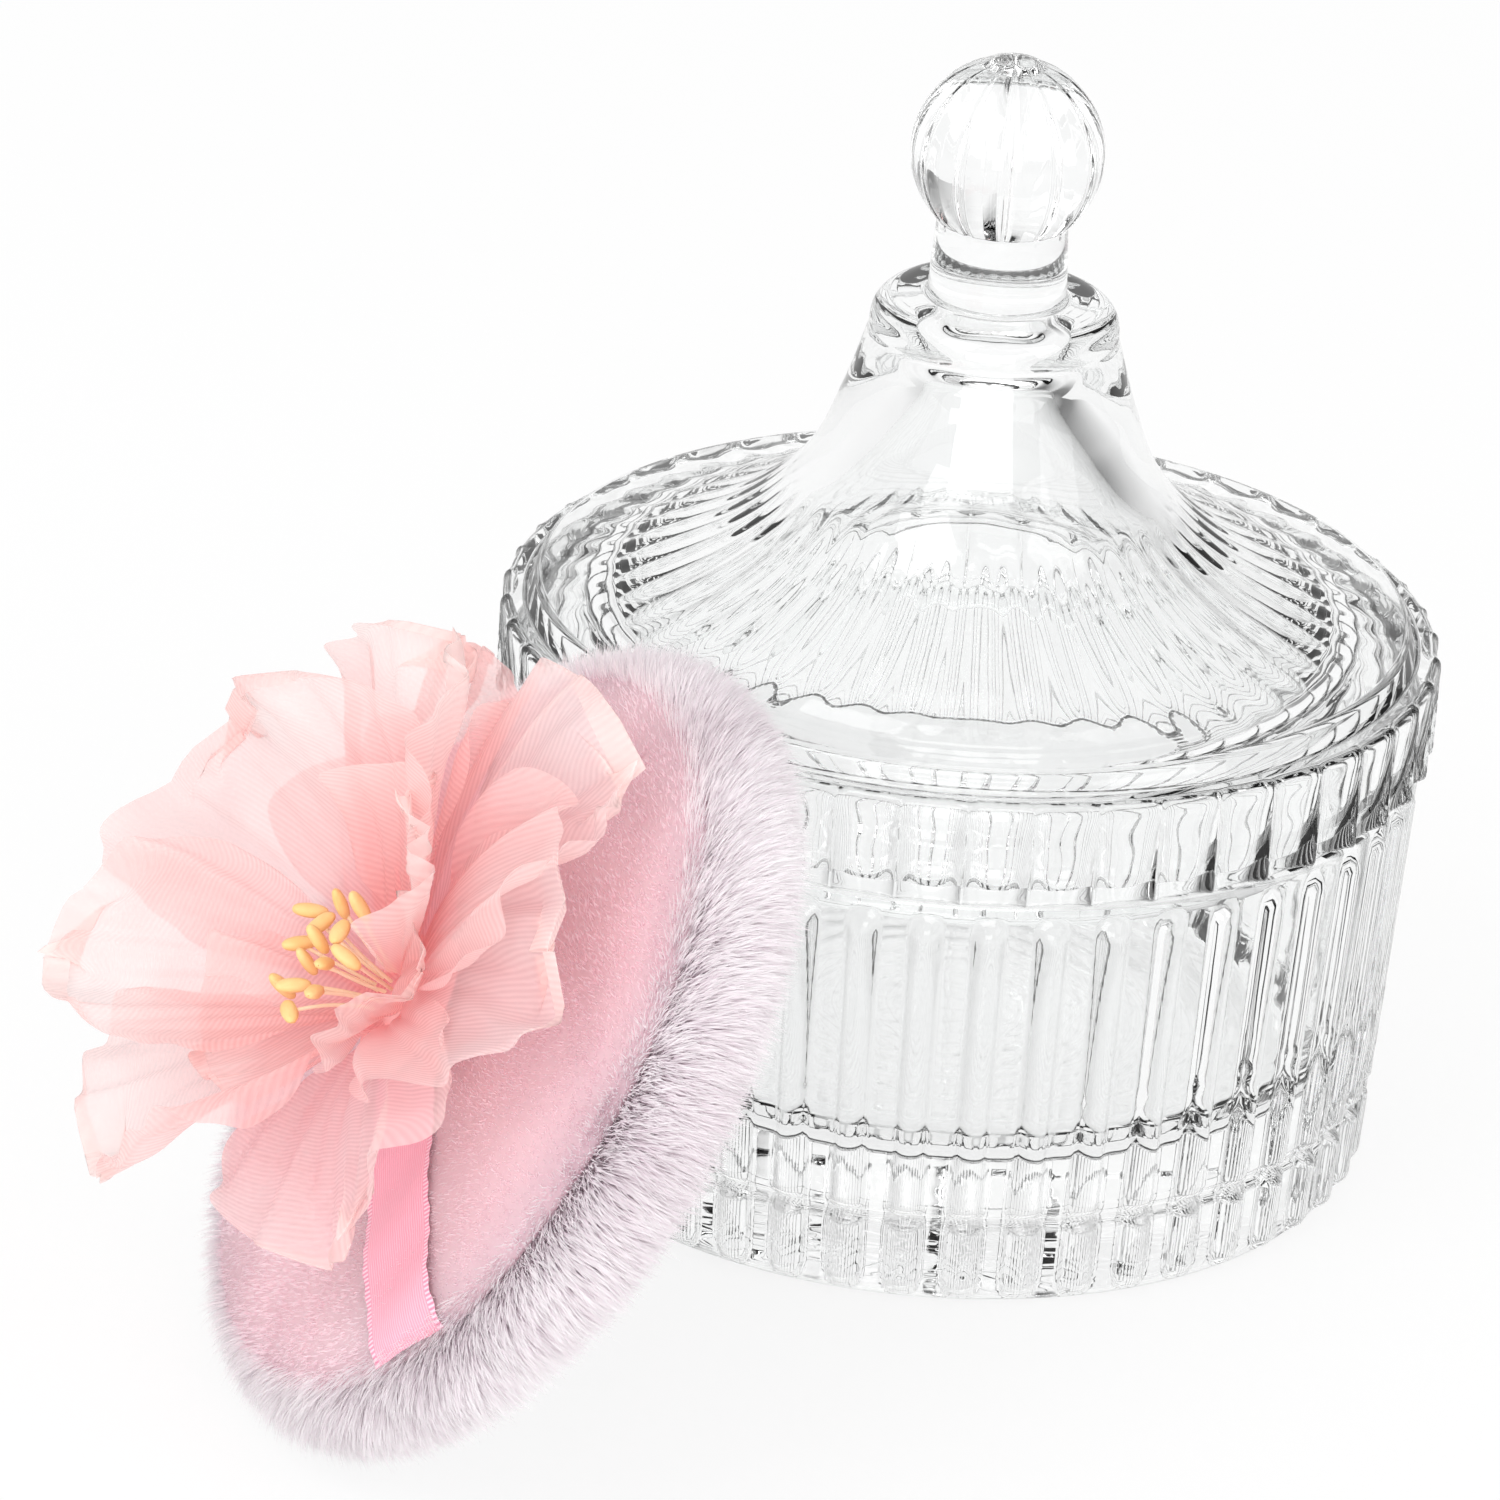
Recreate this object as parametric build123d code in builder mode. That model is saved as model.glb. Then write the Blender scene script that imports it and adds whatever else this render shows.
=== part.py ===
"""Pressed-glass powder jar with a lift-off lid, and the powder puff that leans against it.

The jar stands on the XY plane with its axis on Z. Its body carries round reeds on a flaring
wall; the lid sits on the rim, drops a locating flange into the mouth and ends in a melon knob.
The puff is a plush-backed pad with a velour top, a ribbon strap and a flower of stiff gauze.
"""
import math
import os

from build123d import *

# ---------------------------------------------------------------- jar body, millimetres
RIB_COUNT = 46
JAR_HEIGHT = 47.4
JAR_FOOT_RADIUS = 45.2
JAR_RIM_RADIUS = 48.0
JAR_WALL = 4.6
JAR_FLOOR = 14.0
JAR_FLOOR_BEVEL = 5.0
JAR_EDGE_BEVEL = 1.0
REED_RADIUS = 1.75
REED_SIDES = 12
REED_SINK = 0.5
REED_FOOT = 2.4
REED_TOP_MARGIN = 4.4
FOOT_LINE_HEIGHT = 10.0
FOOT_LINE_WIDTH = 1.2
FOOT_LINE_DEPTH = 0.35

# ---------------------------------------------------------------- lid
LID_SEAT_GAP = 0.3
LID_OVERHANG = 2.2
LID_SKIRT_HEIGHT = 11.6
LID_WALL = 4.2
FLANGE_DEPTH = 4.6
FLANGE_WALL = 2.4
FLANGE_CLEARANCE = 0.9
FLUTE_RADIUS = 4.0
FLUTE_SIDES = 14
FLUTE_DEPTH = 1.7
FLUTE_TOP_MARGIN = 0.8
SHOULDER_STEP = 2.6
SHOULDER_RING = 2.3
SHOULDER_ROUND = 1.2
FLARE_RISE = 30.0
FLARE_TOP_RADIUS = 13.2
FLARE_STEPS = 10
CROWN_ROUND = 4.0
NECK_RADIUS = 6.9
NECK_HEIGHT = 8.4
KNOB_RADIUS = 10.2
KNOB_GORES = 12
KNOB_GROOVE = 0.55
KNOB_GROOVE_START = 26.0
KNOB_CAP_RADIUS = 3.4
CAVITY_TOP_RADIUS = 6.2
CAVITY_CROWN = 6.4
CAVITY_STEPS = 4
CAVITY_SHARE_START = 0.24
CAVITY_SHARE_END = 0.72

# ---------------------------------------------------------------- powder puff
PUFF_RADIUS = 42.5
PILE_THICKNESS = 12.4
PUFF_LEAN = 58.0
PUFF_TURN = 197.0
PUFF_CONTACT = 225.0
PUFF_CLEARANCE = 0.4
SEAM_INSET = 2.6
RIM_STEPS = 6
TOP_DOME = 4.6
DOME_STEPS = 4
PILE_BACKING = 3.0
LAYER_GAP = 0.3

# ---------------------------------------------------------------- ribbon strap and flower
STRAP_WIDTH = 10.5
STRAP_THICKNESS = 0.6
STRAP_TURN = -123.0
PAD_RADIUS = 8.0
PAD_THICKNESS = 1.0
GAUZE = 0.7
OUTER_PETALS = 6
OUTER_TURN = -12.0
OUTER_REACH = 32.0
OUTER_RISE = 10.0
OUTER_TIP = 10.0
INNER_PETALS = 5
INNER_REACH = 22.0
INNER_RISE = 15.5
INNER_TIP = 7.6
PETAL_ROOT = 5.0
PETAL_ROOT_WIDTH = 1.6
PETAL_BEND = 0.55
PETAL_BEND_RISE = 0.36
PETAL_SPACING = 1.4
PETAL_TIP_SIDES = 20
PETAL_ROOT_SIDES = 8
INNER_TURN = 18.0
STAMEN_COUNT = 14
STAMEN_FOOT_RADIUS = 3.0
STAMEN_SPREAD = 5.4
STAMEN_LENGTH = 9.5
FILAMENT_RADIUS = 0.35
STAMEN_SIDES = 6
ANTHER_RADIUS = 1.0
ANTHER_LENGTH = 3.4


def wall_radius(height):
    """Outer radius of the jar's plain wall, which flares evenly from foot to rim."""
    share = height / JAR_HEIGHT
    return JAR_FOOT_RADIUS + share * (JAR_RIM_RADIUS - JAR_FOOT_RADIUS)


def save(piece, name):
    """Label a finished piece and write its STEP file."""
    piece.part.label = name
    export_step(piece.part, f"parts/{name}.step")


os.makedirs("parts", exist_ok=True)

# ================================================================ jar body
reed_low = (wall_radius(REED_FOOT) - REED_SINK, 0, REED_FOOT)
reed_top = JAR_HEIGHT - REED_TOP_MARGIN - REED_RADIUS
reed_high = (wall_radius(reed_top) - REED_SINK, 0, reed_top)
reed_line = Vector(*reed_high) - Vector(*reed_low)
reed_slope = 2 * REED_RADIUS
reed_side = Plane(origin=reed_low, x_dir=reed_line, z_dir=(0, -1, 0))

with BuildPart() as reed:
    with BuildSketch(Plane(origin=reed_low, x_dir=(0, 1, 0), z_dir=reed_line)):
        RegularPolygon(REED_RADIUS, REED_SIDES, major_radius=False, rotation=180 / REED_SIDES)
    extrude(amount=reed_line.length)
    with BuildSketch(reed_side):
        with BuildLine():
            Polyline(
                (0, REED_RADIUS),
                (reed_slope, -REED_RADIUS),
                (reed_line.length - reed_slope, -REED_RADIUS),
                (reed_line.length, REED_RADIUS),
                close=True,
            )
        make_face()
    extrude(amount=REED_RADIUS, both=True, mode=Mode.INTERSECT)

mouth_radius = JAR_RIM_RADIUS - JAR_WALL
floor_radius = wall_radius(JAR_FLOOR) - JAR_WALL
line_radius = wall_radius(FOOT_LINE_HEIGHT)

with BuildPart() as jar_body:
    with BuildSketch(Plane.XZ) as wall_section:
        with BuildLine():
            Polyline(
                (0, 0),
                (JAR_FOOT_RADIUS, 0),
                (JAR_RIM_RADIUS, JAR_HEIGHT),
                (0, JAR_HEIGHT),
                close=True,
            )
        make_face()
        outer_corners = wall_section.vertices().group_by(Axis.X)[1:]
        chamfer([corner for group in outer_corners for corner in group], JAR_EDGE_BEVEL)
    revolve(axis=Axis.Z)
    with PolarLocations(0, RIB_COUNT):
        add(reed.part)
    with BuildSketch(Plane.XZ):
        with BuildLine():
            Polyline(
                (line_radius - FOOT_LINE_DEPTH, FOOT_LINE_HEIGHT),
                (line_radius + REED_RADIUS, FOOT_LINE_HEIGHT - FOOT_LINE_WIDTH),
                (line_radius + REED_RADIUS, FOOT_LINE_HEIGHT + FOOT_LINE_WIDTH),
                close=True,
            )
        make_face()
    revolve(axis=Axis.Z, mode=Mode.SUBTRACT)
    with BuildSketch(Plane.XZ) as cavity_section:
        with BuildLine():
            Polyline(
                (0, JAR_FLOOR),
                (floor_radius, JAR_FLOOR),
                (mouth_radius, JAR_HEIGHT),
                (0, JAR_HEIGHT),
                close=True,
            )
        make_face()
        for bevel in (JAR_FLOOR_BEVEL, JAR_FLOOR_BEVEL / 3):
            low_edge = cavity_section.vertices().group_by(Axis.Y)[0].sort_by(Axis.X)[-1]
            chamfer(low_edge, bevel)
    revolve(axis=Axis.Z, mode=Mode.SUBTRACT)
save(jar_body, "jar_body")

# ================================================================ lid
lid_base = JAR_HEIGHT + LID_SEAT_GAP
lid_radius = JAR_RIM_RADIUS + LID_OVERHANG
skirt_top = lid_base + LID_SKIRT_HEIGHT
ring_radius = lid_radius - SHOULDER_STEP
flare_start = skirt_top + SHOULDER_RING
flare_top = flare_start + FLARE_RISE
crown = flare_top + CROWN_ROUND
neck_top = crown + NECK_HEIGHT
knob_centre = neck_top + math.sqrt(KNOB_RADIUS**2 - NECK_RADIUS**2)
crown_cut = CROWN_ROUND * (1 - math.sqrt(0.5))
flange_radius = mouth_radius - FLANGE_CLEARANCE
flute_axis = lid_radius + FLUTE_RADIUS - FLUTE_DEPTH
flute_floor = lid_radius - FLUTE_DEPTH
flute_top = skirt_top - SHOULDER_ROUND - FLUTE_TOP_MARGIN


def flare_point(radius_share, rise_share):
    """Point on the lid's concave flare, from shares of its radial and vertical extent."""
    run = ring_radius - SHOULDER_ROUND - FLARE_TOP_RADIUS
    return (FLARE_TOP_RADIUS + radius_share * run, flare_start + rise_share * FLARE_RISE)


flare = Spline(
    flare_point(1, 0),
    flare_point(0.68, 0.085),
    flare_point(0.37, 0.26),
    flare_point(0.175, 0.48),
    flare_point(0.07, 0.75),
    flare_point(0, 1),
    tangents=((-1, 0.12), (-0.16, 1)),
)


def under_flare(step):
    """Point one wall below the flare, for one step of the hollow's way up it."""
    share = CAVITY_SHARE_START + step / CAVITY_STEPS * (CAVITY_SHARE_END - CAVITY_SHARE_START)
    place = flare @ share
    way = flare % share
    return (place.X - LID_WALL * way.Y, place.Y + LID_WALL * way.X)


with BuildPart() as flute:
    with BuildSketch(Plane.XY.offset(lid_base - FLUTE_RADIUS)):
        with Locations((flute_axis, 0)):
            RegularPolygon(FLUTE_RADIUS, FLUTE_SIDES, major_radius=False, rotation=180 / FLUTE_SIDES)
    extrude(amount=2 * LID_SKIRT_HEIGHT)
    with BuildSketch(Plane.XZ):
        with BuildLine():
            Polyline(
                (flute_floor, lid_base - FLUTE_RADIUS),
                (flute_axis, lid_base - FLUTE_RADIUS),
                (flute_axis, flute_top + FLUTE_RADIUS),
                (lid_radius, flute_top),
                (flute_floor, flute_top - 2 * FLUTE_DEPTH),
                close=True,
            )
        make_face()
    extrude(amount=FLUTE_RADIUS, both=True, mode=Mode.INTERSECT)

groove_orbit = KNOB_RADIUS + KNOB_GROOVE / 2
groove_start = math.radians(KNOB_GROOVE_START)
groove_tip = Vector(math.sin(groove_start), 0, math.cos(groove_start)) * groove_orbit

with BuildPart() as gore_line:
    groove_way = (math.cos(groove_start), 0, -math.sin(groove_start))
    groove_end = Vector(0, 0, knob_centre) + groove_tip
    with BuildSketch(Plane(origin=groove_end, x_dir=groove_tip, z_dir=groove_way)):
        RegularPolygon(KNOB_GROOVE, 4)
    revolve(
        axis=Axis((0, 0, knob_centre), (0, 1, 0)),
        revolution_arc=180 - 2 * KNOB_GROOVE_START,
    )

with BuildPart() as knob:
    with Locations((0, 0, knob_centre)):
        Sphere(KNOB_RADIUS)
    with PolarLocations(0, KNOB_GORES):
        add(gore_line.part, mode=Mode.SUBTRACT)
    cap_sink = math.sqrt(KNOB_RADIUS**2 - KNOB_CAP_RADIUS**2)
    with BuildSketch(Plane.XY.offset(knob_centre + cap_sink - KNOB_CAP_RADIUS)):
        Circle(KNOB_CAP_RADIUS)
    extrude(amount=KNOB_RADIUS - cap_sink + KNOB_CAP_RADIUS)

with BuildPart() as jar_lid:
    with BuildSketch(Plane.XZ):
        with BuildLine():
            Polyline(
                (0, lid_base),
                (lid_radius, lid_base),
                (lid_radius, skirt_top - SHOULDER_ROUND),
                (lid_radius - SHOULDER_ROUND, skirt_top),
                (ring_radius, skirt_top),
                flare_point(1, 0),
            )
            Polyline(*[flare @ (step / FLARE_STEPS) for step in range(FLARE_STEPS + 1)])
            Polyline(
                flare_point(0, 1),
                (FLARE_TOP_RADIUS - crown_cut, crown - crown_cut),
                (FLARE_TOP_RADIUS - CROWN_ROUND, crown),
                (NECK_RADIUS, crown),
                (NECK_RADIUS, neck_top),
                (0, neck_top),
                (0, lid_base),
            )
        make_face()
    revolve(axis=Axis.Z)
    with PolarLocations(0, RIB_COUNT):
        add(flute.part, mode=Mode.SUBTRACT)
    add(knob.part)
    with BuildSketch(Plane.XY.offset(lid_base - FLANGE_DEPTH)):
        Circle(flange_radius)
    extrude(amount=FLANGE_DEPTH)
    with BuildSketch(Plane.XZ):
        inner_radius = flange_radius - FLANGE_WALL
        with BuildLine():
            Polyline(
                (0, lid_base - FLANGE_DEPTH),
                (inner_radius, lid_base - FLANGE_DEPTH),
                (inner_radius, skirt_top - LID_WALL),
            )
            Polyline(
                (inner_radius, skirt_top - LID_WALL),
                *[under_flare(step) for step in range(CAVITY_STEPS + 1)],
                (CAVITY_TOP_RADIUS, crown - CAVITY_CROWN),
            )
            Polyline(
                (CAVITY_TOP_RADIUS, crown - CAVITY_CROWN),
                (0, crown - CAVITY_CROWN),
                (0, lid_base - FLANGE_DEPTH),
            )
        make_face()
    revolve(axis=Axis.Z, mode=Mode.SUBTRACT)
save(jar_lid, "jar_lid")

# ================================================================ where the puff leans
# The plush pad is a flat disc with a fully rounded rim. Its rim stands on the table, and in
# plan it touches the lid's widest circle at the angle PUFF_CONTACT.
rim_round = PILE_THICKNESS / 2
disc_radius = PUFF_RADIUS - rim_round
lean = math.radians(PUFF_LEAN)
turn = math.radians(PUFF_TURN)
contact = math.radians(PUFF_CONTACT)
strap_turn = math.radians(STRAP_TURN)
face = Vector(math.sin(lean) * math.cos(turn), math.sin(lean) * math.sin(turn), math.cos(lean))
uphill = Vector(-math.cos(lean) * math.cos(turn), -math.cos(lean) * math.sin(turn), math.sin(lean))
across = face.cross(uphill)
along_share = math.cos(contact - turn) * disc_radius * math.cos(lean)
across_share = math.sin(contact - turn) * disc_radius
reach = math.hypot(along_share, across_share)
step_along = along_share * disc_radius * math.cos(lean) / reach
step_across = across_share * disc_radius / reach
stand_off = lid_radius + PUFF_CLEARANCE + rim_round
puff_centre = Vector(
    stand_off * math.cos(contact) + step_along * math.cos(turn) - step_across * math.sin(turn),
    stand_off * math.sin(contact) + step_along * math.sin(turn) + step_across * math.cos(turn),
    rim_round + disc_radius * math.sin(lean),
)
puff_axis = Axis(puff_centre, face)
puff_section = Plane(origin=puff_centre, x_dir=uphill, z_dir=uphill.cross(face))


def puff_level(height):
    """Plane parallel to the puff's face, at a height above the middle of the plush."""
    return Plane(origin=puff_centre + face * height, x_dir=uphill, z_dir=face)


seam_radius = PUFF_RADIUS - SEAM_INSET
seam_height = math.sqrt(rim_round**2 - (seam_radius - disc_radius) ** 2)
core_radius = seam_radius - PILE_BACKING
core_floor = PILE_BACKING - rim_round
top_base = seam_height + LAYER_GAP
seam_bearing = math.asin(seam_height / rim_round)


def rim_point(share):
    """Point on the plush's rounded rim, from under its edge round to the seam."""
    bearing = -math.pi / 2 + share * (math.pi / 2 + seam_bearing)
    return (disc_radius + rim_round * math.cos(bearing), rim_round * math.sin(bearing))


# ================================================================ puff: plush back and side
with BuildPart() as puff_plush:
    with BuildSketch(puff_section):
        with BuildLine():
            rim = [rim_point(step / RIM_STEPS) for step in range(RIM_STEPS + 1)]
            Polyline(
                (0, -rim_round),
                *rim,
                (core_radius, seam_height),
                (core_radius, core_floor),
                (0, core_floor),
                close=True,
            )
        make_face()
    revolve(axis=puff_axis)
save(puff_plush, "puff_plush_back")

# ================================================================ puff: foam core
with BuildPart() as puff_core:
    with BuildSketch(puff_level(core_floor + LAYER_GAP)):
        Circle(core_radius - LAYER_GAP)
    extrude(amount=seam_height - core_floor - LAYER_GAP)
save(puff_core, "puff_foam_core")


def dome_height(radius, lift):
    """Height of a shallow dome above the seam plane, lifted by a constant amount."""
    return top_base + lift + TOP_DOME * (1 - (radius / seam_radius) ** 2)


dome_rings = [seam_radius * (1 - step / DOME_STEPS) for step in range(1, DOME_STEPS + 1)]

# ================================================================ puff: velour top
with BuildPart() as puff_top:
    with BuildSketch(puff_section):
        with BuildLine():
            Polyline(
                (0, top_base),
                (seam_radius, top_base),
                *[(r, dome_height(r, 0)) for r in dome_rings],
                close=True,
            )
        make_face()
    revolve(axis=puff_axis)
save(puff_top, "puff_velour_top")

# ================================================================ ribbon strap
strap_way = uphill * math.cos(strap_turn) + across * math.sin(strap_turn)
strap_section = Plane(origin=puff_centre, x_dir=strap_way, z_dir=strap_way.cross(face))

with BuildPart() as ribbon_strap:
    with BuildSketch(strap_section):
        with BuildLine():
            for lift in (LAYER_GAP, LAYER_GAP + STRAP_THICKNESS):
                ThreePointArc(
                    (-seam_radius, top_base + lift),
                    (0, dome_height(0, lift)),
                    (seam_radius, top_base + lift),
                )
            for end in (-seam_radius, seam_radius):
                Line((end, top_base + LAYER_GAP), (end, top_base + LAYER_GAP + STRAP_THICKNESS))
        make_face()
    extrude(amount=STRAP_WIDTH / 2, both=True)
save(ribbon_strap, "ribbon_strap")

# ================================================================ flower
pad_base = dome_height(0, 2 * LAYER_GAP + STRAP_THICKNESS)
with BuildPart() as flower_pad:
    with BuildSketch(puff_level(pad_base)):
        Circle(PAD_RADIUS)
    extrude(amount=PAD_THICKNESS)
save(flower_pad, "flower_pad")

outer_base = pad_base + PAD_THICKNESS + LAYER_GAP
inner_base = outer_base + PETAL_SPACING


def make_petal(base, reach_out, rise, tip, angle):
    """One gauze petal: a bent strip along its bearing, trimmed to a rounded spade outline."""
    bearing = math.radians(angle)
    way = uphill * math.cos(bearing) + across * math.sin(bearing)
    root = PETAL_ROOT - PETAL_ROOT_WIDTH
    bend = (reach_out * PETAL_BEND, base + rise * PETAL_BEND_RISE)
    with BuildPart() as petal:
        with BuildSketch(Plane(origin=puff_centre, x_dir=way, z_dir=way.cross(face))):
            with BuildLine():
                Polyline(
                    (root, base),
                    bend,
                    (reach_out, base + rise),
                    (reach_out, base + rise + GAUZE),
                    (bend[0], bend[1] + GAUZE),
                    (root, base + GAUZE),
                    close=True,
                )
            make_face()
        extrude(amount=2 * tip, both=True)
        with BuildSketch(puff_level(base - GAUZE)):
            root_place = Vector(PETAL_ROOT, 0).rotate(Axis.Z, angle)
            tip_place = Vector(reach_out - tip - GAUZE, 0).rotate(Axis.Z, angle)
            with Locations(root_place):
                RegularPolygon(PETAL_ROOT_WIDTH, PETAL_ROOT_SIDES)
            with Locations(tip_place):
                RegularPolygon(tip, PETAL_TIP_SIDES)
            make_hull()
        extrude(amount=rise + 3 * GAUZE, mode=Mode.INTERSECT)
    return petal


for number in range(OUTER_PETALS):
    angle = OUTER_TURN + number * 360 / OUTER_PETALS
    petal = make_petal(outer_base, OUTER_REACH, OUTER_RISE, OUTER_TIP, angle)
    save(petal, f"outer_petal_{number + 1}")
for number in range(INNER_PETALS):
    angle = INNER_TURN + number * 360 / INNER_PETALS
    petal = make_petal(inner_base, INNER_REACH, INNER_RISE, INNER_TIP, angle)
    save(petal, f"inner_petal_{number + 1}")

# ================================================================ stamens
stamen_base = inner_base + GAUZE + LAYER_GAP
golden_turn = 180 * (3 - math.sqrt(5))


def stamen_plane(number, distance):
    """Plane across one stamen, at a distance from its foot; the bunch fans outwards."""
    spread = math.sqrt((number + 0.5) / STAMEN_COUNT)
    bearing = math.radians(number * golden_turn)
    outward = uphill * math.cos(bearing) + across * math.sin(bearing)
    foot = puff_centre + face * stamen_base + outward * (spread * STAMEN_FOOT_RADIUS)
    aim = (face * STAMEN_LENGTH + outward * (spread * STAMEN_SPREAD)).normalized()
    return Plane(origin=foot + aim * distance, z_dir=aim)


with BuildPart() as stamen_filaments:
    for number in range(STAMEN_COUNT):
        with BuildSketch(stamen_plane(number, 0)):
            RegularPolygon(FILAMENT_RADIUS, STAMEN_SIDES)
        extrude(amount=STAMEN_LENGTH)
save(stamen_filaments, "stamen_filaments")

with BuildPart() as stamen_anthers:
    for number in range(STAMEN_COUNT):
        with BuildSketch(stamen_plane(number, STAMEN_LENGTH + LAYER_GAP)):
            RegularPolygon(ANTHER_RADIUS, STAMEN_SIDES)
        extrude(amount=ANTHER_LENGTH)
save(stamen_anthers, "stamen_anthers")
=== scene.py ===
"""Looks of the covered glass powder jar and its powder puff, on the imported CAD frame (metres)."""
import math

import bpy
import numpy as np
from mathutils import Matrix, Vector


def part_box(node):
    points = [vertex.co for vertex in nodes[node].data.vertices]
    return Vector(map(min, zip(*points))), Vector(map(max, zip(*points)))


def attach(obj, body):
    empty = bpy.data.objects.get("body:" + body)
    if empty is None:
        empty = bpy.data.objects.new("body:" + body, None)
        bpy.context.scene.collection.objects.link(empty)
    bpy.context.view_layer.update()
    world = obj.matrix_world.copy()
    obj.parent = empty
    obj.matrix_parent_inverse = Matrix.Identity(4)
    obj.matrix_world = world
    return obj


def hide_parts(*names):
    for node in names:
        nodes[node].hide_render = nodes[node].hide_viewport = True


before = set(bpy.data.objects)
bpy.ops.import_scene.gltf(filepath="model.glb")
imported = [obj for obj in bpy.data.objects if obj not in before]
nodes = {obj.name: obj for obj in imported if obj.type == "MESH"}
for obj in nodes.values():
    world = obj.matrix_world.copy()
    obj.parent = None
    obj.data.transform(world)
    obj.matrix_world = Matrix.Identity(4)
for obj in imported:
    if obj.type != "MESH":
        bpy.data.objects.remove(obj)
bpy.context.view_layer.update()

MM = 0.001
scene = bpy.context.scene


# ------------------------------------------------------------------ mesh helpers
def mesh_object(name, points, faces, body, slot, **uvs):
    """A mesh piece from an array of points and arrays of faces, riding on a body. Each uv is a
    layer of its own: cloth is the place on the flat cloth, and grow runs root to tip."""
    mesh = bpy.data.meshes.new(name)
    corners = np.concatenate([np.asarray(f, dtype=np.int32).ravel() for f in faces])
    sizes = np.concatenate([np.full(len(f), len(f[0]), dtype=np.int32) for f in faces])
    mesh.vertices.add(len(points))
    mesh.vertices.foreach_set("co", np.asarray(points, dtype=np.float32).ravel())
    mesh.loops.add(len(corners))
    mesh.loops.foreach_set("vertex_index", corners)
    mesh.polygons.add(len(sizes))
    mesh.polygons.foreach_set("loop_start", np.cumsum(sizes, dtype=np.int32) - sizes)
    mesh.update(calc_edges=True)
    mesh.polygons.foreach_set("use_smooth", np.full(len(sizes), True))
    for layer_name, uv in uvs.items():
        layer = mesh.uv_layers.new(name=layer_name)
        loops = np.empty(len(mesh.loops), dtype=np.int32)
        mesh.loops.foreach_get("vertex_index", loops)
        layer.data.foreach_set("uv", np.asarray(uv, dtype=np.float32)[loops].ravel())
    piece = bpy.data.objects.new(name, mesh)
    scene.collection.objects.link(piece)
    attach(piece, body)
    return piece


def grid_faces(rows, columns, wrap_columns=False):
    """Quads of a grid of points, numbered row by row."""
    r = np.arange(rows - 1)
    c = np.arange(columns if wrap_columns else columns - 1)
    a, b = np.meshgrid(r, c, indexing="ij")
    a2, b2 = (a + 1) % rows, (b + 1) % columns
    quads = np.stack([a * columns + b, a * columns + b2, a2 * columns + b2, a2 * columns + b], -1)
    return quads.reshape(-1, 4)


def turned_mesh(name, rings, body, slot):
    """A closed body turned about Z, with a corner at each bearing in around. rings is a list of
    (radii, heights) in order along the outline; a cap closes each end of it near the axis."""
    count = len(around)
    points = []
    for radii, heights in rings:
        radii, heights = np.broadcast_to(radii, count), np.broadcast_to(heights, count)
        ring = np.stack([radii * np.cos(around), radii * np.sin(around), heights], -1)
        points.append(ring)
    points = np.concatenate(points) * MM
    walls = grid_faces(len(rings), count, wrap_columns=True)
    here = np.arange(count)
    after = (here + 1) % count
    low, high = len(points), len(points) + 1
    end = low - count
    points = np.concatenate([points, [points[:count].mean(0), points[-count:].mean(0)]])
    low_cap = np.stack([np.full(count, low), after, here], -1)
    high_cap = np.stack([np.full(count, high), end + here, end + after], -1)
    return mesh_object(name, points, [walls, low_cap, high_cap], body, slot)


def smooth_min(a, b, width):
    """Smaller of two values, with the corner between them rounded over a width."""
    h = np.clip(0.5 + 0.5 * (b - a) / width, 0, 1)
    return b * (1 - h) + a * h - width * h * (1 - h)


def smooth_max(a, b, width):
    """Larger of two values, with the corner between them rounded over a width."""
    return -smooth_min(-a, -b, width)


def curve_through(points, steps):
    """Evenly spaced points on a Catmull-Rom curve through a few (radius, height) pairs."""
    p = np.asarray(points, float)
    p = np.vstack([2 * p[0] - p[1], p, 2 * p[-1] - p[-2]])
    out = []
    for i in range(1, len(p) - 2):
        t = np.linspace(0, 1, 40, endpoint=False)[:, None]
        a, b, c, d = p[i - 1 : i + 3]
        out.append(
            0.5
            * (
                2 * b
                + (c - a) * t
                + (2 * a - 5 * b + 4 * c - d) * t**2
                + (3 * b - a - 3 * c + d) * t**3
            )
        )
    out = np.vstack([*out, p[-2]])
    far = np.concatenate([[0], np.cumsum(np.linalg.norm(np.diff(out, axis=0), axis=1))])
    even = np.linspace(0, far[-1], steps)
    return np.stack([np.interp(even, far, out[:, k]) for k in (0, 1)], -1)


def rounded(outline, step):
    """Samples a polyline of (radius, height, round) corners, with each corner rounded."""
    path = []
    for i, (x, y, r) in enumerate(outline):
        here = np.array([x, y])
        if r == 0 or i in (0, len(outline) - 1):
            path.append(here[None])
            continue
        back = np.array(outline[i - 1][:2]) - here
        ahead = np.array(outline[i + 1][:2]) - here
        back, ahead = back / np.linalg.norm(back), ahead / np.linalg.norm(ahead)
        half = math.acos(np.clip(back @ ahead, -1, 1)) / 2
        reach = r / math.tan(half)
        a, b = here + back * reach, here + ahead * reach
        t = np.linspace(0, 1, max(6, int(2 * r / step)))[:, None]
        path.append((1 - t) ** 2 * a + 2 * t * (1 - t) * here + t**2 * b)
    path = np.vstack(path)
    out = [path[:1]]
    for a, b in zip(path[:-1], path[1:]):
        n = max(1, int(np.linalg.norm(b - a) / step))
        out.append(a + (b - a) * np.linspace(0, 1, n + 1)[1:, None])
    return np.vstack(out)


# ------------------------------------------------------------------ sizes of the glass, in mm
lid_low, lid_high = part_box("jar_lid")
lid_radius = ((lid_high - lid_low) / MM).x / 2
rim_height = (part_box("jar_body")[1] / MM).z
foot_radius, rim_radius = 45.2, 48.0
floor_top = 14.0
seat = rim_height + 0.3
skirt_height = 11.6

RIBS = 46
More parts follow.
